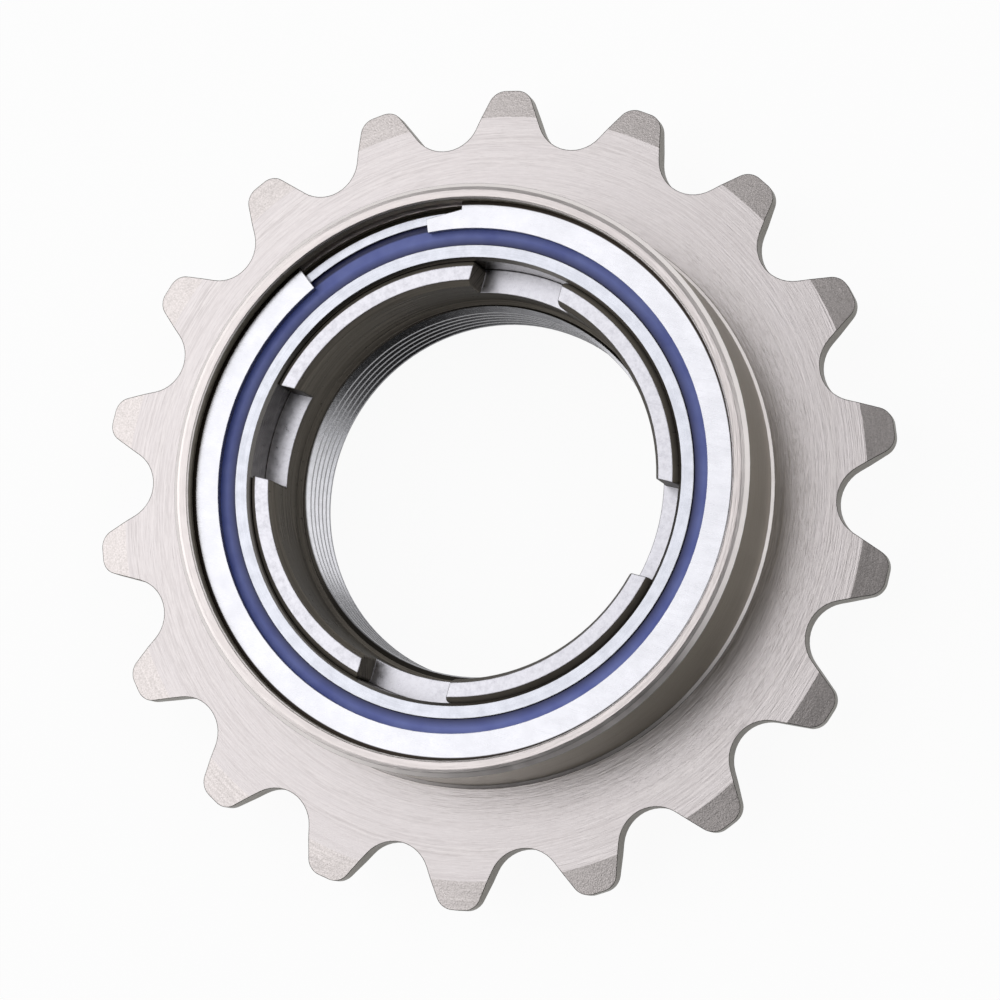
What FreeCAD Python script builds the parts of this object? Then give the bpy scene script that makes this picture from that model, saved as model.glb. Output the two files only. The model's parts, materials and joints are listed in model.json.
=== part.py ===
import FreeCAD, Part
import math
import os
import Sketcher
from FreeCAD import Placement, Rotation, Vector

# Single speed freewheel
# An 18 tooth sprocket shell turns on a sealed ball bearing round a threaded inner body.
# The frame has its origin on the freewheel's axis, in the plane of the inner body's back face.
# +Z points outboard, towards the face with the snap ring. +X and +Y run through tool notches.
# Lengths are in millimetres and angles in degrees. Radii are measured from the axis.

SIZES = [
    # Chain wheel
    ("tooth_count", 18, "teeth on the chain wheel"),
    ("chain_pitch", 12.7, "distance from roller to roller along the chain"),
    ("root_depth", 3.92, "tooth root below the pitch circle"),
    ("tip_height", 1.38, "tooth tip above the pitch circle"),
    ("root_arc", 3.4, "radius of the round at the tooth root"),
    ("flank_slope", 31.9, "slope of a tooth flank to the gap's centre line"),
    ("tip_round", 1.6, "radius of the two corners of a tooth tip"),
    ("tooth_phase", 2.5, "angle of the first tooth from +X"),
    ("plate_back", 5.1, "height of the plate's back face"),
    ("plate_thick", 2.0, "thickness of the tooth plate"),
    ("bevel_reach", 2.6, "how far the turned tooth bevel reaches in from the tips"),
    ("bevel_drop", 0.4, "how much the bevel takes off each face at the tips"),
    # Shell round the tooth plate
    ("shell_back", 0.6, "height of the shell's back face"),
    ("hub_wall", 3.5, "wall of the shell outside the bearing, behind the plate"),
    ("hub_chamfer", 0.8, "chamfer on the shell's back edge"),
    ("collar_wall", 0.7, "wall of the collar outside the snap ring's groove"),
    ("collar_foot", 0.3, "chamfer where the collar meets the plate"),
    ("collar_ease", 0.1, "drop of the shallow cone outside the collar's face"),
    ("collar_ease_reach", 0.7, "how far in from the collar's wall its flat face starts"),
    ("collar_edge", 0.4, "drop of the last chamfer down to the collar's wall"),
    ("collar_edge_reach", 0.4, "width of the last chamfer"),
    ("front_height", 16.6, "height of the collar's front face"),
    ("mouth_chamfer", 0.15, "chamfer on the collar's inner edge"),
    ("mouth_room", 0.25, "room round the bearing as it passes the collar's mouth"),
    # Bearing
    ("bearing_sink", 1.95, "bearing's front face below the collar's front face"),
    ("bearing_width", 6.0, "width of both races"),
    ("inner_race_wall", 1.4, "wall of the inner race beside its track"),
    ("race_gap", 2.3, "gap between the two races, which the seals close"),
    ("outer_race_wall", 1.3, "wall of the outer race beside its track"),
    ("inner_corner", 0.3, "chamfer at the inner race's bore"),
    ("outer_corner", 0.5, "chamfer at the outer race's rim"),
    ("ball_count", 24, "balls in the bearing"),
    ("ball_radius", 1.5875, "radius of a ball"),
    ("track_gap", 0.06, "how much larger the track's section is than a ball"),
    ("seat_gap", 0.02, "gap between a race and its seat"),
    # Seals of the bearing
    ("seal_sink", 0.15, "how far a seal's face lies inside the races' faces"),
    ("seal_thick", 0.65, "thickness of a seal"),
    ("seal_border", 0.5, "width of the seal's lower border beside the outer race"),
    ("seal_step", 0.3, "drop from the raised flat to the seal's outer border"),
    ("seal_bead", 0.35, "how far the seal's bead enters the outer race"),
    ("seal_lip_gap", 0.05, "running gap between the seal's lip and the inner race"),
    # Ball cage
    ("cage_side_gap", 0.4, "gap between the cage and each race"),
    ("cage_foot_gap", 0.25, "gap between the cage and the back seal"),
    ("cage_rise", 0.7, "height of the cage's fingers over the ball centres"),
    ("pocket_gap", 0.08, "gap between a ball and its pocket in the cage"),
    # Snap ring
    ("ring_thick", 0.7, "thickness of the snap ring"),
    ("ring_overlap", 2.2, "how far the snap ring reaches in over the bearing"),
    ("ring_gap", 0.05, "gap between the snap ring and its groove"),
    ("groove_depth", 0.8, "depth of the snap ring's groove in the collar's mouth"),
    ("ring_square_end", 143.3, "angle of the ring's square end"),
    ("ring_opening", 29.8, "angle of the opening between the ring's ends"),
    ("tongue_width", 1.25, "width of the ring's tongue at its tip"),
    ("tongue_root_width", 1.75, "width of the tongue where it starts"),
    ("tongue_angle", 8.0, "angle that the tongue spans"),
    # Inner body
    ("thread_radius", 17.4625, "major radius of the hub thread"),
    ("thread_chamfer", 0.3, "chamfer at the mouth of the hub thread"),
    ("recess_step", 0.3375, "how much wider the tool's recess is than the thread"),
    ("recess_depth", 7.15, "depth from the notched rim to the end of the hub thread"),
    ("recess_cone", 0.5, "height of the cone from the recess down to the hub thread"),
    ("body_wall", 2.5375, "wall of the inner body outside the hub thread"),
    ("spigot_height", 2.45, "height of the shoulder behind the pawls"),
    ("shoulder_width", 1.4, "step from the bearing's seat out to the body round the pawls"),
    ("rim_lead", 0.9, "height of the lead-in cone inside the notched rim"),
    ("rim_lead_reach", 0.4, "width of the lead-in cone"),
    ("rim_chamfer", 0.5, "chamfer outside the notched rim"),
    ("notch_count", 4, "notches for the removal tool"),
    ("notch_width", 8.6, "width of a tool notch"),
    ("notch_depth", 3.8, "depth of a tool notch"),
    ("notch_round", 0.3, "round on the upright edges of a notch"),
    # Ratchet
    ("ratchet_count", 36, "ratchet teeth inside the shell"),
    ("ratchet_back", 2.3, "height of the back end of the ratchet teeth"),
    ("crest_gap", 0.9, "gap between the inner body and the ratchet's crests"),
    ("ratchet_depth", 1.4, "depth of the ratchet's tooth spaces"),
    ("ratchet_phase", 21.5, "angle of the drive face that the first pawl meets"),
    ("ratchet_land", 1.0, "angle of a crest's flat land"),
    # Pawls
    ("pawl_count", 3, "pawls, evenly spaced"),
    ("pivot_inset", 1.4, "centre of a pawl's heel inside the body's rim"),
    ("heel_radius", 1.2, "radius of a pawl's round heel"),
    ("heel_gap", 0.05, "running gap between the heel and its socket"),
    ("pawl_length", 7.82, "reach of a pawl past its heel's centre"),
    ("pawl_proud", 0.39, "how far a coasting pawl's tip stands out of the body's rim"),
    ("pawl_rest_gap", 0.415, "underside of a coasting pawl's tip above the pocket's floor"),
    ("pawl_tip_slant", 0.66, "how far the tip's inner corner lies behind its outer one"),
    ("pawl_back_room", 1.0, "pawl's back side in front of the ratchet's back end"),
    ("pawl_front_room", 0.75, "pawl's front side behind the bearing"),
    ("pawl_side_gap", 0.1, "gap on each side of a pawl in its pocket"),
    ("pocket_room", 0.88, "room between a pawl's tip and its pocket's end wall"),
    # Pawl springs
    ("leaf_thick", 0.15, "thickness of a leaf spring"),
    ("leaf_side_room", 0.5, "how much a leaf is narrower than its pawl on each side"),
    ("leaf_inset", 1.82, "middle of a leaf behind its pawl's tip"),
    ("leaf_span", 4.4, "length of a leaf between its feet"),
    ("leaf_rise", 0.15, "rise of the leaf's bow"),
    ("leaf_seat", 0.01, "gap under the leaf's feet"),
    # Dust seal at the back
    ("back_lip_gap", 0.45, "gap between the shell's back lip and the inner body"),
    ("back_lip_thick", 0.8, "thickness of the shell's back lip"),
    ("dust_seal_wrap", 0.4, "how far the dust seal reaches out past the ratchet's crests"),
    ("dust_seal_thick", 0.8, "thickness of the dust seal"),
    ("dust_seal_gap", 0.08, "running gap between the dust seal and the inner body"),
    ("dust_lip", 0.35, "thickness of the dust seal's lip at its edge"),
]

doc = FreeCAD.newDocument("freewheel")


# Sizes and the sheets that hold them

class Size:
    """A length or an angle: its value, and the expression that ties it to the sheets."""

    def __init__(self, value, text):
        self.value = float(value)
        self.text = text

    def __add__(self, other):
        other = as_size(other)
        return Size(self.value + other.value, "(%s + %s)" % (self.text, other.text))

    def __sub__(self, other):
        other = as_size(other)
        return Size(self.value - other.value, "(%s - %s)" % (self.text, other.text))

    def __mul__(self, other):
        other = as_size(other)
        return Size(self.value * other.value, "(%s * %s)" % (self.text, other.text))

    def __truediv__(self, other):
        other = as_size(other)
        return Size(self.value / other.value, "(%s / %s)" % (self.text, other.text))

    def __neg__(self):
        return Size(-self.value, "(0 - %s)" % self.text)


def as_size(thing):
    if isinstance(thing, Size):
        return thing
    return Size(thing, repr(thing))


def sine(angle):
    return Size(math.sin(math.radians(angle.value)), "sin(%s)" % angle.text)


def cosine(angle):
    return Size(math.cos(math.radians(angle.value)), "cos(%s)" % angle.text)


def square_root(size):
    return Size(math.sqrt(size.value), "sqrt(%s)" % size.text)


def fill_sheet(name, rows):
    sheet = doc.addObject("Spreadsheet::Sheet", name)
    sizes = {}
    for row, (alias, value, meaning) in enumerate(rows, start=1):
        sheet.set("A%d" % row, meaning)
        sheet.set("B%d" % row, str(value))
        sheet.setAlias("B%d" % row, alias)
        sizes[alias] = Size(value, "%s.%s" % (name, alias))
    doc.recompute()
    return sizes


dims = fill_sheet("dims", SIZES)
worked_sheet = doc.addObject("Spreadsheet::Sheet", "worked")
worked_rows = []


def worked(alias, size):
    """Keep a worked-out size in a sheet of its own, so that later expressions stay short."""
    worked_rows.append(alias)
    cell = "B%d" % len(worked_rows)
    worked_sheet.set("A%d" % len(worked_rows), alias.replace("_", " "))
    worked_sheet.set(cell, "=" + size.text)
    worked_sheet.setAlias(cell, alias)
    doc.recompute()
    return Size(size.value, "worked." + alias)


def polar(radius, angle):
    return radius * cosine(angle), radius * sine(angle)


# Sketches and features

def origin_part(body, role):
    return next(item for item in body.Origin.OriginFeatures if item.Role == role)


def new_body(label):
    body = doc.addObject("PartDesign::Body", label)
    body.Label = label
    return body


def new_sketch(body, name, role, height=None, turn=None):
    """A sketch on one of the body's own planes, raised by height and turned about the plane's normal."""
    sketch = body.newObject("Sketcher::SketchObject", name)
    sketch.AttachmentSupport = [(origin_part(body, role), "")]
    sketch.MapMode = "FlatFace"
    if turn is not None:
        sketch.AttachmentOffset = Placement(Vector(0, 0, 0), Rotation(Vector(0, 0, 1), turn.value))
        sketch.setExpression("AttachmentOffset.Rotation.Angle", turn.text)
    if height is not None:
        sketch.setExpression("AttachmentOffset.Base.z", height.text)
    return sketch


def hold(sketch, kind, edge, end, size):
    """Tie one coordinate of a point, or a radius, to its size."""
    if kind == "Radius":
        constraint = Sketcher.Constraint(kind, edge, size.value)
    else:
        constraint = Sketcher.Constraint(kind, -1, 1, edge, end, size.value)
    index = sketch.addConstraint(constraint)
    sketch.setExpression("Constraints[%d]" % index, size.text)


def draw(sketch, corners, arcs=None):
    """Close the corners into one outline.

    Edges are straight, apart from those in arcs: corner number to (centre, radius, turn), where
    the edge that leaves this corner goes round the centre, anticlockwise for a turn of 1 and
    clockwise for -1.
    """
    arcs = arcs or {}
    corners = [(as_size(x), as_size(y)) for x, y in corners]
    ends = []
    for number, (x, y) in enumerate(corners):
        next_x, next_y = corners[(number + 1) % len(corners)]
        if number in arcs:
            centre, radius, turn = arcs[number]
            middle_x, middle_y = as_size(centre[0]), as_size(centre[1])
            first = math.atan2(y.value - middle_y.value, x.value - middle_x.value)
            last = math.atan2(next_y.value - middle_y.value, next_x.value - middle_x.value)
            if turn < 0:
                first, last = last, first
            middle = Vector(middle_x.value, middle_y.value, 0)
            circle = Part.Circle(middle, Vector(0, 0, 1), as_size(radius).value)
            edge = sketch.addGeometry(Part.ArcOfCircle(circle, first, last))
            ends.append((edge, 1, 2) if turn > 0 else (edge, 2, 1))
            hold(sketch, "DistanceX", edge, 3, middle_x)
            hold(sketch, "DistanceY", edge, 3, middle_y)
            hold(sketch, "Radius", edge, 0, as_size(radius))
        else:
            line = Part.LineSegment(Vector(x.value, y.value, 0), Vector(next_x.value, next_y.value, 0))
            edge = sketch.addGeometry(line)
            ends.append((edge, 1, 2))
    for number, (x, y) in enumerate(corners):
        before = (number - 1) % len(corners)
        edge, start, _ = ends[number]
        sketch.addConstraint(Sketcher.Constraint("Coincident", ends[before][0], ends[before][2], edge, start))
        touching = [arcs[side] for side in (before, number) if side in arcs]
        if not touching:
            hold(sketch, "DistanceX", edge, start, x)
            hold(sketch, "DistanceY", edge, start, y)
        elif len(touching) == 1:
            # an arc leaves its end one way to move, so one coordinate is enough
            centre = touching[0][0]
            across = abs(x.value - as_size(centre[0]).value)
            along = abs(y.value - as_size(centre[1]).value)
            if across > along:
                hold(sketch, "DistanceY", edge, start, y)
            else:
                hold(sketch, "DistanceX", edge, start, x)


def turn_solid(body, name, corners, arcs=None, angle=None):
    """Turn a section of (radius, height) corners about the axis, all round or by an angle."""
    sketch = new_sketch(body, name + "_section", "XZ_Plane")
    draw(sketch, corners, arcs)
    solid = body.newObject("PartDesign::Revolution", name)
    solid.Profile = sketch
    solid.ReferenceAxis = (sketch, ["V_Axis"])
    solid.Angle = 360
    if angle is not None:
        solid.setExpression("Angle", angle.text)
    body.Tip = solid
    return solid


def turn_groove(body, name, centre_x, centre_y, radius):
    """Cut a round-bottomed track right round the axis."""
    sketch = new_sketch(body, name + "_section", "XZ_Plane")
    middle = Vector(centre_x.value, centre_y.value, 0)
    edge = sketch.addGeometry(Part.Circle(middle, Vector(0, 0, 1), radius.value))
    hold(sketch, "DistanceX", edge, 3, centre_x)
    hold(sketch, "DistanceY", edge, 3, centre_y)
    hold(sketch, "Radius", edge, 0, radius)
    groove = body.newObject("PartDesign::Groove", name)
    groove.Profile = sketch
    groove.ReferenceAxis = (sketch, ["V_Axis"])
    groove.Angle = 360
    body.Tip = groove
    return groove


def cut_down(body, sketch, name, depth):
    pocket = body.newObject("PartDesign::Pocket", name)
    pocket.Profile = sketch
    pocket.setExpression("Length", depth.text)
    body.Tip = pocket
    return pocket


def pad_up(body, sketch, name, height):
    pad = body.newObject("PartDesign::Pad", name)
    pad.Profile = sketch
    pad.setExpression("Length", height.text)
    body.Tip = pad
    return pad


def repeat_round(body, feature, count):
    pattern = body.newObject("PartDesign::PolarPattern", feature.Name + "_pattern")
    pattern.Originals = [feature]
    pattern.Axis = (origin_part(body, "Z_Axis"), [""])
    pattern.Angle = 360
    pattern.setExpression("Occurrences", count.text)
    body.Tip = pattern
    return pattern


# Heights that several pieces share, from the collar's front face down to the pawls

bearing_front = worked("bearing_front", dims["front_height"] - dims["bearing_sink"])
bearing_back = worked("bearing_back", bearing_front - dims["bearing_width"])
bearing_middle = worked("bearing_middle", bearing_front - dims["bearing_width"] / 2)
groove_front = worked("groove_front", bearing_front + dims["ring_thick"] + dims["ring_gap"])
thread_height = worked("thread_height", bearing_front - dims["recess_depth"])
pawl_back = worked("pawl_back", dims["ratchet_back"] + dims["pawl_back_room"])
pawl_width = worked("pawl_width", bearing_back - dims["pawl_front_room"] - pawl_back)
plate_front = worked("plate_front", dims["plate_back"] + dims["plate_thick"])
back_lip_front = worked("back_lip_front", dims["shell_back"] + dims["back_lip_thick"])


# Radii that several pieces share, from the hub thread out to the collar

recess_radius = worked("recess_radius", dims["thread_radius"] + dims["recess_step"])
spigot_rim = worked("spigot_rim", dims["thread_radius"] + dims["body_wall"])
body_rim = worked("body_rim", spigot_rim + dims["shoulder_width"])
pivot_radius = worked("pivot_radius", body_rim - dims["pivot_inset"])
pocket_floor = worked("pocket_floor", pivot_radius - dims["heel_radius"] - dims["heel_gap"])
crest_radius = worked("crest_radius", body_rim + dims["crest_gap"])
back_lip_radius = worked("back_lip_radius", spigot_rim + dims["back_lip_gap"])
dust_seal_rim = worked("dust_seal_rim", crest_radius + dims["dust_seal_wrap"])
bearing_bore = spigot_rim
inner_land = worked("inner_land", bearing_bore + dims["inner_race_wall"])
outer_land = worked("outer_land", inner_land + dims["race_gap"])
bearing_rim = worked("bearing_rim", outer_land + dims["outer_race_wall"])
ball_circle = worked("ball_circle", (bearing_bore + bearing_rim) / 2)
track_radius = worked("track_radius", dims["ball_radius"] + dims["track_gap"])
ring_bore = worked("ring_bore", bearing_rim - dims["ring_overlap"])
mouth_radius = worked("mouth_radius", bearing_rim + dims["mouth_room"])
groove_radius = worked("groove_radius", mouth_radius + dims["groove_depth"])
collar_rim = worked("collar_rim", groove_radius + dims["collar_wall"])
hub_rim = worked("hub_rim", bearing_rim + dims["hub_wall"])


# Radii of the chain wheel, which follow from the chain

pitch_radius = worked("pitch_radius", dims["chain_pitch"] / (sine(as_size(180) / dims["tooth_count"]) * 2))
tip_radius = worked("tip_radius", pitch_radius + dims["tip_height"])
bevel_radius = worked("bevel_radius", tip_radius - dims["bevel_reach"])


# Sprocket shell: tooth plate, collar and ratchet ring turned and cut from one blank

def sprocket_shell():
    body = new_body("sprocket_shell")
    front = dims["front_height"]
    edge_top = worked("collar_edge_top", front - dims["collar_ease"])
    turn_solid(body, "shell_blank", [
        (back_lip_radius, dims["shell_back"]),
        (hub_rim - dims["hub_chamfer"], dims["shell_back"]),
        (hub_rim, dims["shell_back"] + dims["hub_chamfer"]),
        (hub_rim, dims["plate_back"]),
        (bevel_radius, dims["plate_back"]),
        (tip_radius, dims["plate_back"] + dims["bevel_drop"]),
        (tip_radius, plate_front - dims["bevel_drop"]),
        (bevel_radius, plate_front),
        (collar_rim + dims["collar_foot"], plate_front),
        (collar_rim, plate_front + dims["collar_foot"]),
        (collar_rim, edge_top - dims["collar_edge"]),
        (collar_rim - dims["collar_edge_reach"], edge_top),
        (collar_rim - dims["collar_ease_reach"], front),
        (mouth_radius + dims["mouth_chamfer"], front),
        (mouth_radius, front - dims["mouth_chamfer"]),
        (mouth_radius, groove_front),
        (groove_radius, groove_front),
        (groove_radius, bearing_front),
        (bearing_rim + dims["seat_gap"], bearing_front),
        (bearing_rim + dims["seat_gap"], bearing_back),
        (crest_radius, bearing_back),
        (crest_radius, dims["ratchet_back"]),
        (dust_seal_rim + dims["seat_gap"], dims["ratchet_back"]),
        (dust_seal_rim + dims["seat_gap"], back_lip_front),
        (back_lip_radius, back_lip_front),
    ])
    cut_tooth_gaps(body)
    cut_ratchet(body)
    return body


def cut_tooth_gaps(body):
    """A tooth gap: a round root, two straight flanks, and rounds that lead over the tooth tips."""
    root_middle = worked("root_middle", pitch_radius - dims["root_depth"] + dims["root_arc"])
    slope_x = worked("slope_x", cosine(dims["flank_slope"]))
    slope_y = worked("slope_y", sine(dims["flank_slope"]))
    flank_x = worked("flank_x", root_middle - dims["root_arc"] * slope_y)
    flank_y = worked("flank_y", dims["root_arc"] * slope_x)
    # the tip round's centre lies its radius away from the flank, and that far inside the tip circle
    start_x = worked("round_start_x", flank_x - dims["tip_round"] * slope_y)
    start_y = worked("round_start_y", flank_y + dims["tip_round"] * slope_x)
    inside = worked("round_circle", tip_radius - dims["tip_round"])
    half = worked("round_half", start_x * slope_x + start_y * slope_y)
    rest = start_x * start_x + start_y * start_y - inside * inside
    run = worked("round_run", square_root(half * half - rest) - half)
    middle_x = worked("round_x", start_x + run * slope_x)
    middle_y = worked("round_y", start_y + run * slope_y)
    end_x = worked("flank_end_x", flank_x + run * slope_x)
    end_y = worked("flank_end_y", flank_y + run * slope_y)
    over_x = worked("tip_corner_x", middle_x * tip_radius / inside)
    over_y = worked("tip_corner_y", middle_y * tip_radius / inside)
    outside = worked("gap_outside", tip_radius + dims["tip_round"])
    turn = dims["tooth_phase"] + as_size(180) / dims["tooth_count"]
    height = plate_front + dims["bevel_drop"]
    sketch = new_sketch(body, "tooth_gap_outline", "XY_Plane", height, turn)
    draw(
        sketch,
        [
            (flank_x, -flank_y),
            (flank_x, flank_y),
            (end_x, end_y),
            (over_x, over_y),
            (outside, over_y),
            (outside, -over_y),
            (over_x, -over_y),
            (end_x, -end_y),
        ],
        {
            0: ((root_middle, 0), dims["root_arc"], -1),
            2: ((middle_x, middle_y), dims["tip_round"], 1),
            6: ((middle_x, -middle_y), dims["tip_round"], 1),
        },
    )
    gap = cut_down(body, sketch, "tooth_gap", dims["plate_thick"] + dims["bevel_drop"] * 2)
    repeat_round(body, gap, dims["tooth_count"])


def cut_ratchet(body):
    """A ratchet space: a radial drive face, and a long ramp that lifts the pawls as they coast."""
    inside = crest_radius - dims["ratchet_depth"]
    space = as_size(360) / dims["ratchet_count"] - dims["ratchet_land"]
    crest = polar(crest_radius, -space)
    sketch = new_sketch(body, "ratchet_outline", "XY_Plane", bearing_back, dims["ratchet_phase"])
    draw(sketch, [
        (inside, 0),
        (crest_radius + dims["ratchet_depth"], 0),
        crest,
        (inside, crest[1]),
    ])
    space_cut = cut_down(body, sketch, "ratchet_space", bearing_back - dims["ratchet_back"])
    repeat_round(body, space_cut, dims["ratchet_count"])


# Inner body: hub thread, tool notches, bearing seat and pawl pockets

def inner_body():
    body = new_body("inner_body")
    seat = bearing_bore - dims["seat_gap"]
    turn_solid(body, "body_blank", [
        (dims["thread_radius"] + dims["thread_chamfer"], 0),
        (spigot_rim, 0),
        (spigot_rim, dims["spigot_height"]),
        (body_rim, dims["spigot_height"]),
        (body_rim, bearing_back),
        (seat, bearing_back),
        (seat, bearing_front - dims["rim_chamfer"]),
        (bearing_bore - dims["rim_chamfer"], bearing_front),
        (recess_radius + dims["rim_lead_reach"], bearing_front),
        (recess_radius, bearing_front - dims["rim_lead"]),
        (recess_radius, thread_height + dims["recess_cone"]),
        (dims["thread_radius"], thread_height),
        (dims["thread_radius"], dims["thread_chamfer"]),
    ])
    cut_notches(body)
    cut_pawl_pockets(body)
    return body


def cut_notches(body):
    half = dims["notch_width"] / 2
    inside = recess_radius - dims["notch_depth"]
    outside = bearing_bore + dims["notch_depth"]
    sketch = new_sketch(body, "notch_outline", "XY_Plane", bearing_front)
    draw(sketch, [(inside, -half), (outside, -half), (outside, half), (inside, half)])
    notch = cut_down(body, sketch, "notch", dims["notch_depth"])
    pattern = repeat_round(body, notch, dims["notch_count"])
    doc.recompute()
    floor = bearing_front.value - dims["notch_depth"].value
    uprights = []
    for number, edge in enumerate(pattern.Shape.Edges, start=1):
        box = edge.BoundBox
        upright = box.XLength + box.YLength < 0.01 and box.ZLength > 1
        if upright and abs(box.ZMin - floor) < 0.01:
            uprights.append("Edge%d" % number)
    rounds = body.newObject("PartDesign::Fillet", "notch_rounds")
    rounds.Base = (pattern, uprights)
    rounds.setExpression("Radius", dims["notch_round"].text)
    body.Tip = rounds


def cut_pawl_pockets(body):
    """A pocket: a half-round socket for the heel, a flat floor for the leaf, and an open top."""
    socket = dims["heel_radius"] + dims["heel_gap"]
    middle = pivot_radius
    end_wall = dims["pawl_length"] + dims["pocket_room"]
    outside = body_rim + dims["heel_radius"]
    top = pawl_back + pawl_width + dims["pawl_side_gap"]
    sketch = new_sketch(body, "pawl_pocket_outline", "XY_Plane", top)
    draw(
        sketch,
        [
            (pocket_floor, 0),
            (middle + socket, 0),
            (outside, 0),
            (outside, end_wall),
            (pocket_floor, end_wall),
        ],
        {0: ((middle, 0), socket, 1)},
    )
    pocket = cut_down(body, sketch, "pawl_pocket", pawl_width + dims["pawl_side_gap"] * 2)
    repeat_round(body, pocket, dims["pawl_count"])


# Pawls and their leaf springs, drawn for the pawl on +X and then turned to their places

def set_round(body, number):
    """Turn a piece drawn at +X to its own place round the axis."""
    step = as_size(360) / dims["pawl_count"]
    turn = step * (number - 1)
    body.Placement = Placement(Vector(0, 0, 0), Rotation(Vector(0, 0, 1), turn.value))
    body.setExpression("Placement.Rotation.Angle", turn.text)
    return body


def pawl(number):
    """A pawl as it lies when it coasts. It swings out by 10 degrees to lock."""
    body = new_body("pawl_%d" % number)
    pivot = (pivot_radius, as_size(0))
    length = dims["pawl_length"]
    tip_circle = body_rim + dims["pawl_proud"]
    outer_tip = (square_root(tip_circle * tip_circle - length * length), length)
    inner_tip = (pocket_floor + dims["pawl_rest_gap"], length - dims["pawl_tip_slant"])
    sketch = new_sketch(body, "pawl_outline_%d" % number, "XY_Plane", pawl_back)
    draw(
        sketch,
        [
            (pivot_radius - dims["heel_radius"], 0),
            (pivot_radius + dims["heel_radius"], 0),
            outer_tip,
            inner_tip,
        ],
        {0: (pivot, dims["heel_radius"], 1)},
    )
    pad_up(body, sketch, "pawl_pad_%d" % number, pawl_width)
    return set_round(body, number)


def pawl_spring(number):
    """A thin leaf, bowed up from the pocket's floor to the underside of the pawl."""
    body = new_body("pawl_spring_%d" % number)
    half = dims["leaf_span"] / 2
    floor = pocket_floor + dims["leaf_seat"]
    inner_bow = (half * half + dims["leaf_rise"] * dims["leaf_rise"]) / (dims["leaf_rise"] * 2)
    leaf_middle = dims["pawl_length"] - dims["leaf_inset"]
    middle = (floor + dims["leaf_rise"] - inner_bow, leaf_middle)
    share = (inner_bow + dims["leaf_thick"]) / inner_bow
    reach = inner_bow - dims["leaf_rise"]
    low = leaf_middle - half
    high = leaf_middle + half
    low_top = (middle[0] + reach * share, leaf_middle - half * share)
    high_top = (middle[0] + reach * share, leaf_middle + half * share)
    raised = pawl_back + dims["leaf_side_room"]
    sketch = new_sketch(body, "leaf_outline_%d" % number, "XY_Plane", raised)
    draw(
        sketch,
        [(floor, low), low_top, high_top, (floor, high)],
        {1: (middle, inner_bow + dims["leaf_thick"], 1), 3: (middle, inner_bow, -1)},
    )
    pad_up(body, sketch, "leaf_pad_%d" % number, pawl_width - dims["leaf_side_room"] * 2)
    return set_round(body, number)


# Ball bearing

def inner_race():
    body = new_body("bearing_inner_race")
    corner = dims["inner_corner"]
    turn_solid(body, "inner_race_blank", [
        (bearing_bore + corner, bearing_back),
        (inner_land, bearing_back),
        (inner_land, bearing_front),
        (bearing_bore + corner, bearing_front),
        (bearing_bore, bearing_front - corner),
        (bearing_bore, bearing_back + corner),
    ])
    turn_groove(body, "inner_track", ball_circle, bearing_middle, track_radius)
    return body


def outer_race():
    """The outer race, with a ball track and a groove at each side that holds a seal."""
    body = new_body("bearing_outer_race")
    corner = dims["outer_corner"]
    rim = bearing_rim
    land = outer_land
    bead = outer_land + dims["seal_bead"] + dims["seat_gap"]
    low = dims["seal_sink"] + dims["seal_step"] - dims["seat_gap"]
    high = dims["seal_sink"] + dims["seal_thick"] + dims["seat_gap"]
    turn_solid(body, "outer_race_blank", [
        (land, bearing_back),
        (rim - corner, bearing_back),
        (rim, bearing_back + corner),
        (rim, bearing_front - corner),
        (rim - corner, bearing_front),
        (land, bearing_front),
        (land, bearing_front - low),
        (bead, bearing_front - low),
        (bead, bearing_front - high),
        (land, bearing_front - high),
        (land, bearing_back + high),
        (bead, bearing_back + high),
        (bead, bearing_back + low),
        (land, bearing_back + low),
    ])
    turn_groove(body, "outer_track", ball_circle, bearing_middle, track_radius)
    return body


def bearing_seal(label, face, inward):
    """A rubber seal: a raised flat, a lower border, and a bead held in the outer race.

    Face is the races' face beside it, and inward is 1 if the seal lies above that face and -1
    if it lies below.
    """
    body = new_body(label)
    lip = inner_land + dims["seal_lip_gap"]
    flat = outer_land - dims["seal_border"]
    border = outer_land - dims["seat_gap"]
    top = face + dims["seal_sink"] * inward
    step = top + dims["seal_step"] * inward
    bottom = top + dims["seal_thick"] * inward
    turn_solid(body, label + "_ring", [
        (lip, top),
        (flat, top),
        (flat, step),
        (border, step),
        (outer_land + dims["seal_bead"], step),
        (outer_land + dims["seal_bead"], bottom),
        (lip, bottom),
    ])
    return body


def ball_cage():
    """A moulded cage: a ring behind the balls, with fingers that reach up between them."""
    body = new_body("ball_cage")
    foot = bearing_back + dims["seal_sink"] + dims["seal_thick"] + dims["cage_foot_gap"]
    top = bearing_middle + dims["cage_rise"]
    inside = inner_land + dims["cage_side_gap"]
    outside = outer_land - dims["cage_side_gap"]
    turn_solid(body, "cage_ring", [(inside, foot), (outside, foot), (outside, top), (inside, top)])
    pocket = body.newObject("PartDesign::SubtractiveSphere", "ball_pocket")
    pocket.Angle1 = -90
    pocket.Angle2 = 90
    pocket.Angle3 = 360
    pocket.setExpression("Radius", (dims["ball_radius"] + dims["pocket_gap"]).text)
    pocket.AttachmentSupport = [(origin_part(body, "XY_Plane"), "")]
    pocket.MapMode = "FlatFace"
    pocket.setExpression("AttachmentOffset.Base.x", ball_circle.text)
    pocket.setExpression("AttachmentOffset.Base.z", bearing_middle.text)
    body.Tip = pocket
    repeat_round(body, pocket, dims["ball_count"])
    return body


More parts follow.
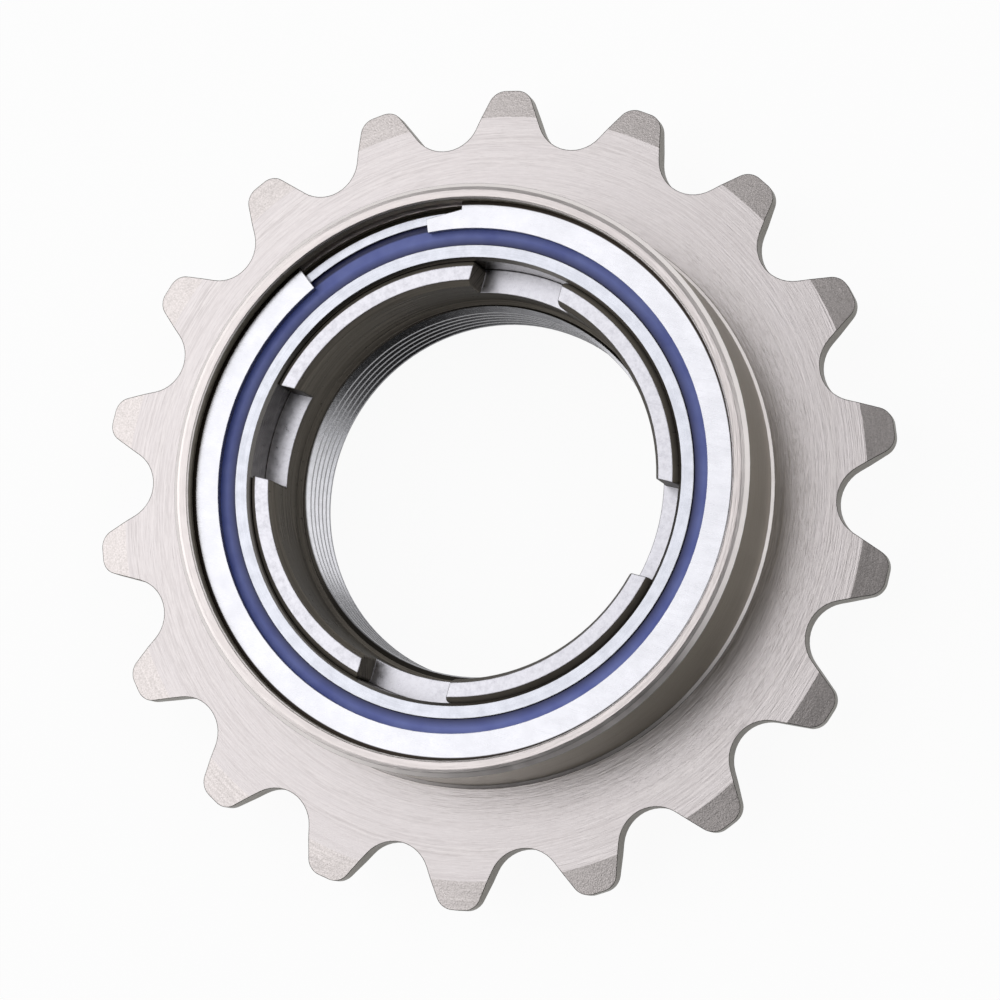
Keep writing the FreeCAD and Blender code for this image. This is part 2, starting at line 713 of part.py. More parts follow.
def ball(number):
    sphere = doc.addObject("Part::Sphere", "ball_%02d" % number)
    sphere.Label = "ball_%02d" % number
    sphere.setExpression("Radius", dims["ball_radius"].text)
    turn = as_size(360) / dims["ball_count"] * (number - 1)
    x, y = polar(ball_circle, turn)
    sphere.setExpression("Placement.Base.x", x.text)
    sphere.setExpression("Placement.Base.y", y.text)
    sphere.setExpression("Placement.Base.z", bearing_middle.text)
    return sphere


# Snap ring and dust seal

def snap_ring():
    """A flat ring with one square end and one end cut down to a narrow tongue."""
    body = new_body("snap_ring")
    rim = groove_radius - dims["ring_gap"]
    sweep = as_size(360) - dims["ring_opening"]
    top = bearing_front + dims["ring_thick"]
    turn_solid(
        body,
        "ring_strip",
        [(ring_bore, bearing_front), (rim, bearing_front), (rim, top), (ring_bore, top)],
        angle=sweep,
    )
    outside = rim + dims["ring_thick"]
    end_x, end_y = polar(ring_bore + dims["tongue_width"], -dims["ring_opening"])
    start = -(dims["ring_opening"] + dims["tongue_angle"])
    start_x, start_y = polar(ring_bore + dims["tongue_root_width"], start)
    sketch = new_sketch(body, "tongue_outline", "XY_Plane", top)
    draw(sketch, [
        (end_x, end_y),
        polar(outside, -dims["ring_opening"] / 2),
        polar(outside, start),
        (start_x, start_y),
    ])
    cut_down(body, sketch, "tongue_cut", dims["ring_thick"])
    square_end = dims["ring_square_end"]
    body.Placement = Placement(Vector(0, 0, 0), Rotation(Vector(0, 0, 1), square_end.value))
    body.setExpression("Placement.Rotation.Angle", square_end.text)
    return body


def dust_seal():
    """A rubber ring held by the shell, with a lip that runs on the inner body's back end."""
    body = new_body("back_dust_seal")
    lip = spigot_rim + dims["dust_seal_gap"]
    foot = back_lip_front
    top = foot + dims["dust_seal_thick"]
    neck = back_lip_radius + dims["back_lip_gap"]
    turn_solid(body, "dust_seal_ring", [
        (lip, foot),
        (dust_seal_rim, foot),
        (dust_seal_rim, top),
        (neck, top),
        (lip, foot + dims["dust_lip"]),
    ])
    return body


# The whole freewheel

pieces = [
    sprocket_shell(),
    inner_body(),
    inner_race(),
    outer_race(),
    bearing_seal("front_bearing_seal", bearing_front, -1),
    bearing_seal("back_bearing_seal", bearing_back, 1),
    ball_cage(),
    snap_ring(),
    dust_seal(),
]
for number in range(1, int(dims["ball_count"].value) + 1):
    pieces.append(ball(number))
for number in range(1, int(dims["pawl_count"].value) + 1):
    pieces.append(pawl(number))
    pieces.append(pawl_spring(number))

doc.recompute()

for item in doc.Objects:
    if "Invalid" in item.State or "Error" in item.State:
        raise RuntimeError("%s did not build: %s" % (item.Label, item.State))
for piece in pieces:
    shape = piece.Shape
    if shape.isNull() or not shape.isValid() or len(shape.Solids) != 1:
        raise RuntimeError("%s is not one valid solid" % piece.Label)

os.makedirs("parts", exist_ok=True)
for piece in pieces:
    piece.Shape.exportStep("parts/%s.step" % piece.Label)
    box = piece.Shape.BoundBox
    print("%-20s volume %9.2f  z %6.2f to %6.2f" % (piece.Label, piece.Shape.Volume, box.ZMin, box.ZMax))
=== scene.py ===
# %% [markdown]
# A single speed freewheel, the part that lets a bicycle coast. An 18 tooth sprocket shell turns
# on a sealed ball bearing round a threaded inner body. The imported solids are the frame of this
# scene: they stay where they are and get their finishes here. The hub thread, which the solids
# leave as a plain wall, is modelled as a new piece.

# %% Load the frame
import json
import math

import bpy
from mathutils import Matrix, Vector


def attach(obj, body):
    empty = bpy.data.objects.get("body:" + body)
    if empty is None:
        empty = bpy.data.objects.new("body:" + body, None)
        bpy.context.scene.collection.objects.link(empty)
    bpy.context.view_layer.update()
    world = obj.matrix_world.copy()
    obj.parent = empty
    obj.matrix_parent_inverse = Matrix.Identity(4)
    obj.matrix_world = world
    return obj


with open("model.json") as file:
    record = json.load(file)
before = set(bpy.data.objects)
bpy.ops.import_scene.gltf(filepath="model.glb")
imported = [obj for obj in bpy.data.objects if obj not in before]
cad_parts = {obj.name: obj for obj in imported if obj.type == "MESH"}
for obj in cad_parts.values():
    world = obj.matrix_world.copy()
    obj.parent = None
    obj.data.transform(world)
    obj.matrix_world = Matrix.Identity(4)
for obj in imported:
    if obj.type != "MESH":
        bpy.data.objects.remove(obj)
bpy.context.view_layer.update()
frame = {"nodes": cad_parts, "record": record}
print("nodes:", len(frame["nodes"]))

# %% [markdown]
# Sizes are real ones in millimetres, as on the drawing of the part, and Blender works in metres.
# Colours are written as a picture editor shows them, so one function turns them to the linear
# values that a shader adds up.

# %% Units and colours
MM = 0.001


def linear(hex_colour):
    """A six digit sRGB colour as linear red, green, blue and alpha."""
    parts = [int(hex_colour[place:place + 2], 16) / 255 for place in (1, 3, 5)]
    return tuple(c / 12.92 if c <= 0.04045 else ((c + 0.055) / 1.055) ** 2.4 for c in parts) + (1.0,)


print("mid grey is", round(linear("#808080")[0], 3), "in linear light")

# %% [markdown]
# Every finish below is a small graph of nodes. Adding a node always takes the same steps: make
# it, set its options, and then fill each input with a value or with another node's output. One
# helper does that, so that each finish reads as a short list.

# %% One helper for nodes


def add_node(tree, kind, inputs=None, **options):
    """Add a node of this kind. Each input takes a value, or a socket that is linked to it."""
    made = tree.nodes.new(kind)
    for option, value in options.items():
        setattr(made, option, value)
    for place, value in (inputs or {}).items():
        if isinstance(value, bpy.types.NodeSocket):
            tree.links.new(value, made.inputs[place])
        else:
            made.inputs[place].default_value = value
    return made


def new_material(label):
    """An empty material with its output node, ready for a surface."""
    material = bpy.data.materials.new(label)
    material.use_nodes = True
    material.node_tree.nodes.clear()
    return material, material.node_tree


def finish_surface(material, tree, surface, hex_colour):
    """Wire the surface to the output, and give the viewport a like colour."""
    add_node(tree, "ShaderNodeOutputMaterial", {"Surface": surface})
    material.diffuse_color = linear(hex_colour)
    return material


print("node helper ready")

# %% [markdown]
# Steel shows how it was cut. A lathe leaves rings round the axis, a surface grinder leaves short
# straight scratches, and a blasted or moulded face has grain with no direction. Each pattern here
# is noise on Object coordinates, squeezed along the direction of the cut. Object coordinates stay
# on the metal as it turns. The turned pattern uses the direction from the axis together with the
# radius, so that it closes on itself with no seam.

# %% Patterns that tools leave


def place_in_mm(tree):
    """The place on the piece, in millimetres from the axis and the back face."""
    coordinates = add_node(tree, "ShaderNodeTexCoord")
    inputs = {0: coordinates.outputs["Object"], "Scale": 1 / MM}
    return add_node(tree, "ShaderNodeVectorMath", inputs, operation="SCALE").outputs[0]


def noise(tree, vector, detail=2.0, roughness=0.5):
    """Cloudy noise whose features are about one unit of the vector wide."""
    inputs = {"Vector": vector, "Scale": 1.0, "Detail": detail, "Roughness": roughness}
    return add_node(tree, "ShaderNodeTexNoise", inputs, noise_dimensions="3D").outputs[0]


def stretched(tree, place, across, turn=0.0):
    """The place divided by a feature's size along each axis, after a turn about the axis."""
    made = add_node(
        tree,
        "ShaderNodeMapping",
        {"Vector": place, "Rotation": (0, 0, turn), "Scale": tuple(1 / size for size in across)},
        vector_type="POINT",
    )
    return made.outputs[0]


def around_axis(tree, place, line, reach):
    """Coordinates for turned marks: line is a ring's width, and reach how many marks go round."""
    flat = add_node(tree, "ShaderNodeVectorMath", {0: place, 1: (1, 1, 0)}, operation="MULTIPLY")
    flat = flat.outputs[0]
    radius = add_node(tree, "ShaderNodeVectorMath", {0: flat}, operation="LENGTH").outputs["Value"]
    outward = add_node(tree, "ShaderNodeVectorMath", {0: flat}, operation="NORMALIZE").outputs[0]
    spread = add_node(tree, "ShaderNodeVectorMath", {0: outward, "Scale": reach}, operation="SCALE")
    spread = spread.outputs[0]
    height = add_node(tree, "ShaderNodeSeparateXYZ", {0: place}).outputs[2]
    depth = add_node(tree, "ShaderNodeMath", {0: radius, 1: height}, operation="ADD").outputs[0]
    rings = add_node(tree, "ShaderNodeMath", {0: depth, 1: line}, operation="DIVIDE").outputs[0]
    lift = add_node(tree, "ShaderNodeCombineXYZ", {2: rings}).outputs[0]
    marks = add_node(tree, "ShaderNodeVectorMath", {0: spread, 1: lift}, operation="ADD").outputs[0]
    return marks, radius


def blend_colours(tree, share, first, second):
    """Mix two colours, each a hex value or a socket."""
    first = linear(first) if isinstance(first, str) else first
    second = linear(second) if isinstance(second, str) else second
    inputs = {0: share, 6: first, 7: second}
    return add_node(tree, "ShaderNodeMix", inputs, data_type="RGBA").outputs[2]


def between(tree, value, low, high, to_low=0.0, to_high=1.0):
    """Spread the range from low to high over another range, and hold it at the ends."""
    made = add_node(
        tree,
        "ShaderNodeMapRange",
        {"Value": value, "From Min": low, "From Max": high, "To Min": to_low, "To Max": to_high},
        clamp=True,
    )
    return made.outputs[0]


def facing_up(tree, low=0.75, high=0.95):
    """1 on faces that look along the axis, either way, and 0 on walls."""
    coordinates = add_node(tree, "ShaderNodeTexCoord")
    upward = add_node(tree, "ShaderNodeSeparateXYZ", {0: coordinates.outputs["Normal"]}).outputs[2]
    size = add_node(tree, "ShaderNodeMath", {0: upward}, operation="ABSOLUTE").outputs[0]
    return between(tree, size, low, high)


def bumped(tree, height, depth_mm, strength=1.0, edge_mm=0.0):
    """A normal raised by the height, over edges that are broken by a small round."""
    inputs = {"Height": height, "Distance": depth_mm * MM, "Strength": strength}
    if edge_mm:
        inputs["Normal"] = add_node(tree, "ShaderNodeBevel", {"Radius": edge_mm * MM}, samples=6).outputs[0]
    return add_node(tree, "ShaderNodeBump", inputs).outputs[0]


def along_edges(tree, radius_mm):
    """1 along sharp edges, where a rounded normal parts from the real one, and 0 elsewhere."""
    rounded = add_node(tree, "ShaderNodeBevel", {"Radius": radius_mm * MM}, samples=8).outputs[0]
    real = add_node(tree, "ShaderNodeNewGeometry").outputs["Normal"]
    agreed = add_node(tree, "ShaderNodeVectorMath", {0: rounded, 1: real}, operation="DOT_PRODUCT")
    return between(tree, agreed.outputs["Value"], 0.995, 0.955)


def along_turning(tree, place):
    """The direction in which a lathe tool ran, for a highlight that is longer across its marks."""
    crossed = add_node(tree, "ShaderNodeVectorMath", {0: (0, 0, 1), 1: place}, operation="CROSS_PRODUCT")
    turned = add_node(
        tree,
        "ShaderNodeVectorTransform",
        {0: crossed.outputs[0]},
        vector_type="VECTOR",
        convert_from="OBJECT",
        convert_to="WORLD",
    )
    return add_node(tree, "ShaderNodeVectorMath", {0: turned.outputs[0]}, operation="NORMALIZE").outputs[0]


print("patterns ready")

# %% [markdown]
# The sprocket shell is alloy steel, turned on a lathe, hobbed for the teeth and then satin nickel
# plated. The eye gets a pale warm grey plate with fine rings round it, and a duller, finely
# speckled bevel at the tooth tips, where a form tool left a coarser face. The walls that the hob
# cut are painted darker and greyer, as painted shade. Real rings lie about 0.1 mm apart, and they
# are drawn at 0.22 mm so that they show. The collar's walls keep a thin film of oil, which isn't
# metal, its slanted chamfers and foot are painted bright as a painted highlight, and every sharp
# edge gets a thin painted dark line of shade, which draws the outline of the teeth.

# %% Satin nickel plated steel of the sprocket
PLATE_RING = 0.22
BEVEL_START = 35.35
COLLAR_EDGE = 27.2
COLLAR_FOOT = 28.3
STEEL_ROUGHNESS = 0.34


def plated_steel():
    material, tree = new_material("satin_nickel_plated_steel")
    place = place_in_mm(tree)
    # Long marks run round the plate, and short ones break them up.
    rings, radius = around_axis(tree, place, PLATE_RING, 2.2)
    long_marks = noise(tree, rings, detail=3.0, roughness=0.6)
    dashes, _ = around_axis(tree, place, 0.13, 16.0)
    short_marks = noise(tree, dashes, detail=2.0, roughness=0.7)
    fine = add_node(tree, "ShaderNodeMath", {0: long_marks, 1: short_marks}, operation="ADD").outputs[0]
    fine = between(tree, fine, 0.5, 1.5)
    broad_place, _ = around_axis(tree, place, 1.1, 1.6)
    broad = noise(tree, broad_place, detail=2.0)
    grain = noise(tree, stretched(tree, place, (0.16, 0.16, 0.16)), detail=2.0, roughness=0.6)
    # Faces: turned plate, speckled bevel, collar's face, and the collar's chamfers, painted bright as a
    # highlight.
    turned = blend_colours(tree, between(tree, fine, 0.3, 0.7), "#B9B3B3", "#DBD5D5")
    turned = blend_colours(tree, between(tree, broad, 0.35, 0.65, 0.0, 0.45), turned, "#D1CBCC")
    speckled = blend_colours(tree, between(tree, grain, 0.35, 0.65), "#BFB9B7", "#D6CFCE")
    on_bevel = between(tree, radius, BEVEL_START - 0.05, BEVEL_START + 0.05)
    faces = blend_colours(tree, on_bevel, turned, speckled)
    on_collar = between(tree, radius, COLLAR_EDGE, COLLAR_EDGE - 0.1)
    faces = blend_colours(tree, on_collar, faces, "#D2CBCA")
    past_foot = between(tree, radius, COLLAR_FOOT - 0.1, COLLAR_FOOT + 0.1)
    plain = add_node(tree, "ShaderNodeMath", {0: facing_up(tree, 0.9, 0.97), 1: past_foot}, operation="MAXIMUM")
    # Slanted faces inside the collar's foot are painted near white: a painted highlight.
    faces = blend_colours(tree, plain.outputs[0], "#F4EEEC", faces)
    # Walls: painted darker and greyer as shade, and an oil film on the collar.
    walls = blend_colours(tree, between(tree, grain, 0.3, 0.7), "#77726A", "#8E8A81")
    walls = blend_colours(tree, on_collar, walls, "#A49D8E")
    upward = facing_up(tree, 0.25, 0.45)
    colour = blend_colours(tree, upward, walls, faces)
    # Every sharp edge gets a thin dark line: painted shade.
    colour = blend_colours(tree, along_edges(tree, 0.14), colour, "#3E3B35")
    oil_and_shade = add_node(tree, "ShaderNodeMath", {0: on_collar, 1: upward}, operation="SUBTRACT", use_clamp=True)
    marks = add_node(tree, "ShaderNodeMix", {0: on_bevel, 2: fine, 3: grain}, data_type="FLOAT").outputs[0]
    rough = between(tree, fine, 0.25, 0.75, STEEL_ROUGHNESS - 0.05, STEEL_ROUGHNESS + 0.07)
    shader = add_node(tree, "ShaderNodeBsdfPrincipled", {
        "Base Color": colour,
        "Metallic": between(tree, oil_and_shade.outputs[0], 0.0, 1.0, 1.0, 0.8),
        "Roughness": rough,
        "Anisotropic": 0.5,
        "Tangent": along_turning(tree, place),
        "Normal": bumped(tree, marks, 0.02, 0.8, edge_mm=0.08),
    })
    return finish_surface(material, tree, shader.outputs[0], "#C8C4C4")


SPROCKET_STEEL = plated_steel()
print(SPROCKET_STEEL.name, "rings every", PLATE_RING, "mm")

# %% [markdown]
# The inner body is turned from a tougher steel. Its notched rim and the floors of its four
# notches are faced bright, while the recess, the bore and the flanks are painted a dark brown
# grey: painted shade and dark reflection, over a little oil. One material holds both, told apart
# by which way a face looks and by its height. The low-angle glare of those dark walls is tinted
# dark too, as painted shade, and the edges of the notches get a painted dark line of shade.

# %% Turned steel of the inner body
BRIGHT_ABOVE = 8.5


def body_steel():
    material, tree = new_material("turned_steel_painted_shade_bore")
    place = place_in_mm(tree)
    rings, _ = around_axis(tree, place, 0.3, 2.0)
    fine = noise(tree, rings, detail=3.0, roughness=0.55)
    mottle = noise(tree, stretched(tree, place, (0.55, 0.55, 0.55)), detail=4.0, roughness=0.65)
    faced = blend_colours(tree, between(tree, mottle, 0.3, 0.62), "#B8B7BE", "#DAD9E0")
    # The recess, bore and flanks: painted shade and dark reflection, over a little oil.
    shade_and_oil = blend_colours(tree, between(tree, fine, 0.3, 0.7), "#66615A", "#857F76")
    height = add_node(tree, "ShaderNodeSeparateXYZ", {0: place}).outputs[2]
    reached = between(tree, height, BRIGHT_ABOVE, BRIGHT_ABOVE + 0.5)
    bright_faces = add_node(tree, "ShaderNodeMath", {0: facing_up(tree, 0.85, 0.97), 1: reached}, operation="MULTIPLY")
    colour = blend_colours(tree, bright_faces.outputs[0], shade_and_oil, faced)
    # A dark line along the edges: painted shade.
    line = between(tree, along_edges(tree, 0.12), 0.0, 1.0, 0.0, 0.7)
    colour = blend_colours(tree, line, colour, "#3A3733")
    shader = add_node(tree, "ShaderNodeBsdfPrincipled", {
        "Base Color": colour,
        "Metallic": between(tree, bright_faces.outputs[0], 0.0, 1.0, 0.6, 1.0),
        # Low-angle glare on the dark walls is tinted dark: painted shade.
        "Specular Tint": blend_colours(tree, bright_faces.outputs[0], "#3A3834", "#FFFFFF"),
        "Roughness": between(tree, mottle, 0.3, 0.7, 0.26, 0.4),
        "Normal": bumped(tree, mottle, 0.02, 0.4, edge_mm=0.16),
    })
    return finish_surface(material, tree, shader.outputs[0], "#A8A6A6")


CORE_STEEL = body_steel()
print(CORE_STEEL.name)

# %% [markdown]
# Bearing races and the snap ring are ground flat. A surface grinder leaves short, nearly straight
# scratches that cross each other, so the ring looks white with a faint cloth-like haze. The races
# are through-hardened bearing steel, a little bluer, and spin while they are ground, which leaves
# arcs. The snap ring is stamped from spring steel strip, tumbled and then ground, so it is the
# whitest part of all. Walls are painted darker than faces, as painted shade. The snap ring's outer
# edge is painted dark as shade in its groove, and the cone over the hub thread is painted dark.

# %% Ground steels
RACE_RADIUS = 25.0


def ground_steel(label, dark, light, scratch, roughness, mottle_mm, wall, dark_band=None, arcs=False):
    """Steel ground flat: scratches that cross, or arcs round the axis, over a faint mottle."""
    material, tree = new_material(label)
    place = place_in_mm(tree)
    length, width = scratch
    if arcs:
        first = second = noise(tree, around_axis(tree, place, width, RACE_RADIUS / length)[0], detail=2.0)
    else:
        size = (length, width, width)
        first = noise(tree, stretched(tree, place, size, math.radians(35)), detail=2.0)
        second = noise(tree, stretched(tree, place, size, math.radians(-28)), detail=2.0)
    crossed = add_node(tree, "ShaderNodeMath", {0: first, 1: second}, operation="MULTIPLY").outputs[0]
    mottle = noise(tree, stretched(tree, place, (mottle_mm,) * 3), detail=3.0, roughness=0.6)
    marks = add_node(tree, "ShaderNodeMath", {0: crossed, 1: mottle}, operation="ADD").outputs[0]
    faces = blend_colours(tree, between(tree, marks, 0.5, 0.95), dark, light)
    # Walls take a darker colour than faces: painted shade.
    colour = blend_colours(tree, facing_up(tree), wall, faces)
    # Past a radius or a height the colour turns dark: painted shade in the snap ring's groove, and a dark band
    # on the thread's cone.
    if dark_band:
        measure, start, oil_and_shade = dark_band
        if measure == "radius":
            _, reach = around_axis(tree, place, 1.0, 1.0)
        else:
            reach = add_node(tree, "ShaderNodeSeparateXYZ", {0: place}).outputs[2]
        colour = blend_colours(tree, between(tree, reach, start, start + 0.08), colour, oil_and_shade)
    shader = add_node(tree, "ShaderNodeBsdfPrincipled", {
        "Base Color": colour,
        "Metallic": 1.0,
        "Roughness": between(tree, crossed, 0.1, 0.4, roughness, roughness + 0.08),
        "Normal": bumped(tree, crossed, 0.004, 0.5, edge_mm=0.08),
    })
    return finish_surface(material, tree, shader.outputs[0], light)


# The snap ring is painted dark past this radius, as shade in its groove; the thread's cone is painted dark
# above this height.
GROOVE_SHADE = ("radius", 24.87, "#2E2925")
CONE_DARK_BAND = ("height", 6.95, "#34312D")
BEARING_STEEL = ground_steel(
    "ground_bearing_steel", "#B7B9C2", "#CACCD5", (6.0, 0.16), 0.2, 1.2, "#7D7A77", arcs=True)
SPRING_STEEL = ground_steel(
    "ground_spring_steel", "#CDCDD3", "#D8D8DE", (2.4, 0.3), 0.22, 2.0, "#8F8D8B", GROOVE_SHADE)
THREAD_STEEL = ground_steel(
    "tapped_steel", "#BDBDC1", "#D2D2D7", (1.4, 0.1), 0.2, 1.0, "#BDBDC1", CONE_DARK_BAND)
PAWL_STEEL = ground_steel("ground_tool_steel", "#8A8884", "#A6A4A0", (1.2, 0.14), 0.3, 0.9, "#7E7C78")
LEAF_STEEL = ground_steel("tempered_strip_steel", "#5C6066", "#777B82", (2.0, 0.2), 0.28, 1.5, "#666A70")
print("ground steels:", BEARING_STEEL.name, SPRING_STEEL.name, THREAD_STEEL.name)
print("darker ones inside:", PAWL_STEEL.name, LEAF_STEEL.name)

# %% [markdown]
# Bearing balls are chrome steel, lapped until they are mirrors. Only a breath of grease and very
# shallow waves break the reflection.

# %% Lapped steel of the balls


def lapped_steel():
    material, tree = new_material("lapped_chrome_steel")
    place = place_in_mm(tree)
    film = noise(tree, stretched(tree, place, (0.9, 0.9, 0.9)), detail=2.0)
    shader = add_node(tree, "ShaderNodeBsdfPrincipled", {
        "Base Color": blend_colours(tree, between(tree, film, 0.35, 0.65), "#BDBEC3", "#CDCED3"),
        "Metallic": 1.0,
        "Roughness": between(tree, film, 0.3, 0.7, 0.07, 0.14),
        "Normal": bumped(tree, film, 0.003, 0.3),
    })
    return finish_surface(material, tree, shader.outputs[0], "#C8C9CE")


BALL_STEEL = lapped_steel()
print(BALL_STEEL.name)

# %% [markdown]
# The bearing's seals are blue nitrile rubber moulded on a steel washer. Moulded rubber has a fine
# even grain, a soft sheen and slight clouds in its colour. The blue seal's inner and outer borders
# are painted navy, as painted shade. The dust seal at the back and the nylon ball cage are moulded
# too, so all three come from one recipe with their own colours.

# %% Moulded rubber and nylon


def moulded(label, dark, light, grain_mm, roughness, coat, ior, border=None):
    """A moulded part: soft clouds of colour, a fine grain, and an optional darker border of painted shade."""
    material, tree = new_material(label)
    place = place_in_mm(tree)
    clouds = noise(tree, stretched(tree, place, (2.5, 2.5, 2.5)), detail=2.0)
    grain = noise(tree, stretched(tree, place, (grain_mm,) * 3), detail=2.0, roughness=0.6)
    colour = blend_colours(tree, between(tree, clouds, 0.3, 0.7), dark, light)
    # The border is painted darker: painted shade.
    if border:
        inside, outside, border_colour = border
        _, radius = around_axis(tree, place, 1.0, 1.0)
        inner_line = between(tree, radius, inside + 0.75, inside, 0.0, 0.95)
        outer_line = between(tree, radius, outside - 0.15, outside)
        colour = blend_colours(tree, inner_line, colour, border_colour)
        colour = blend_colours(tree, outer_line, colour, border_colour)
    shader = add_node(tree, "ShaderNodeBsdfPrincipled", {
        "Base Color": colour,
        "Metallic": 0.0,
        "IOR": ior,
        "Roughness": between(tree, grain, 0.3, 0.7, roughness - 0.05, roughness + 0.08),
        "Coat Weight": coat,
        "Normal": bumped(tree, grain, 0.01, 0.5, edge_mm=0.06),
    })
    return finish_surface(material, tree, shader.outputs[0], light)


# The seal's borders are painted navy: painted shade.
SEAL_PAINTED_SHADE = (21.5, 23.15, "#1B2258")
BLUE_RUBBER = moulded("blue_nitrile_rubber", "#5260AE", "#6C79BF", 0.14, 0.42, 0.0, 1.52, SEAL_PAINTED_SHADE)
BLACK_RUBBER = moulded("black_nitrile_rubber", "#1B1B1C", "#262627", 0.18, 0.55, 0.0, 1.52)
CAGE_NYLON = moulded("natural_nylon", "#CFC6AE", "#DDD6C2", 0.2, 0.45, 0.0, 1.53)
print("moulded:", BLUE_RUBBER.name, BLACK_RUBBER.name, CAGE_NYLON.name)

# %% [markdown]
# The solids carry one slot each, named in the record. A table from slot to finish dresses them
# all, and the solids themselves stay as they are.

# %% Dress the solids
FINISHES = {
    "sprocket_steel": SPROCKET_STEEL,
    "core_steel": CORE_STEEL,
    "bearing_steel": BEARING_STEEL,
    "ball_steel": BALL_STEEL,
    "blue_seal": BLUE_RUBBER,
    "cage_nylon": CAGE_NYLON,
    "spring_steel": SPRING_STEEL,
    "black_rubber": BLACK_RUBBER,
    "pawl_steel": PAWL_STEEL,
    "leaf_steel": LEAF_STEEL,
}
for row in frame["record"]["subparts"]:
    solid = frame["nodes"][row["node"]]
    solid.data.materials.clear()
    solid.data.materials.append(FINISHES[row["material_slot"]])

# %% [markdown]
# The hub thread is cut inside the back half of the inner body: 1.375 inches across its roots and
# 24 turns to the inch. A thread could be faked with bump, but its ridges catch the light in the
# bore and they have to be there in the mesh. So one ridge is drawn as a flat section, swept up
# a helix by a Screw modifier past both ends, and then cut flat where the real bore starts and
# stops. Last, the ridges fade into a chamfer at each mouth, as they do behind a countersunk hole.
# The ridge's foot is sunk a little into the wall, so that no gap shows, and the phase sets the
# height at which the first turn passes the X axis.

# %% Hub thread
ROOT_RADIUS = 17.4625
PITCH = 25.4 / 24
RIDGE_HEIGHT = 0.573
RIDGE_FOOT = PITCH * 7 / 8
RIDGE_TOP = PITCH / 4
SUNK = 0.06
THREAD_LOW = 0.3
THREAD_HIGH = 7.5
TURNS = 10
PHASE = 0.5
STEPS_PER_TURN = 120


def select_nothing():
    if bpy.context.object and bpy.context.object.mode != "OBJECT":
        bpy.ops.object.mode_set(mode="OBJECT")
    bpy.ops.object.select_all(action="DESELECT")


select_nothing()
middle = (ROOT_RADIUS + SUNK - RIDGE_HEIGHT / 2) * MM
centre = (THREAD_LOW - PITCH * 2 + PHASE) * MM
bpy.ops.mesh.primitive_plane_add(size=1.0, location=(middle, 0, centre), rotation=(math.pi / 2, 0, 0))
thread = bpy.context.object
thread.name = thread.data.name = "hub_thread"
thread.scale = ((RIDGE_HEIGHT + SUNK) * MM, RIDGE_FOOT * MM, 1)
bpy.ops.object.transform_apply(location=True, rotation=True, scale=True)
for corner in thread.data.vertices:
    if corner.co.x < middle:
        half_top = RIDGE_TOP / 2 * MM
        corner.co.z = centre + (half_top if corner.co.z > centre else -half_top)
bpy.ops.object.mode_set(mode="EDIT")
bpy.ops.mesh.select_all(action="SELECT")
bpy.ops.mesh.delete(type="ONLY_FACE")
bpy.ops.object.mode_set(mode="OBJECT")
helix = thread.modifiers.new("helix", "SCREW")
helix.axis = "Z"
helix.angle = math.tau
helix.screw_offset = PITCH * MM
helix.iterations = TURNS
helix.steps = helix.render_steps = STEPS_PER_TURN
helix.use_merge_vertices = False
bpy.ops.object.modifier_apply(modifier=helix.name)
bpy.ops.object.mode_set(mode="EDIT")
for height, outer in ((THREAD_LOW, False), (THREAD_HIGH, True)):
    bpy.ops.mesh.select_all(action="SELECT")
    bpy.ops.mesh.bisect(
        plane_co=(0, 0, height * MM),
        plane_no=(0, 0, 1),
        use_fill=True,
        clear_outer=outer,
        clear_inner=not outer,
        threshold=0.00001 * MM,
    )
bpy.ops.mesh.select_all(action="SELECT")
bpy.ops.mesh.remove_doubles(threshold=0.001 * MM)
bpy.ops.mesh.normals_make_consistent(inside=False)
bpy.ops.object.mode_set(mode="OBJECT")
bpy.ops.object.shade_smooth_by_angle(angle=math.radians(25))
thread.data.materials.append(THREAD_STEEL)
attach(thread, "core")
for corner in thread.data.vertices:
    radius = math.hypot(corner.co.x, corner.co.y)
    inward = min(corner.co.z / MM - THREAD_LOW, THREAD_HIGH - corner.co.z / MM)
    least = (ROOT_RADIUS + SUNK - max(inward, 0.0)) * MM
    if radius < least:
        corner.co.x *= least / radius
        corner.co.y *= least / radius
heights = [corner.co.z / MM for corner in thread.data.vertices]
print("hub_thread:", len(thread.data.polygons), "faces")
print("its height runs from", round(min(heights), 2), "to", round(max(heights), 2), "mm")

# %% [markdown]
# The photograph shows the part on pure white. The floor is a matt white sheet that the camera
# sees as white, and it keeps a share of its own shading, so that the part still throws a soft
# shadow on it. Steel mirrors the sheet mostly shaded, which keeps the bore deep. The room is grey
# above, and white near the horizon, where the sheet sweeps up. It is nearly black round the
# camera and down to the floor on that side, where the photographer stands. Those dark patches
# give walls that face them their depth. The camera itself sees all of the room as white.

# %% Floor and room
FLOOR_SIDE = 4.0
FLOOR_DROP = 0.05
SHADOW_SHARE = 0.06
MIRRORED_WHITE = 0.38
ROOM_GREY = 0.3
SWEEP_WHITE = 0.9
CAMERA_SIDE = (0.36, -0.41, 0.84)
STANDING_SIDE = (0.47, -0.88, 0.1)

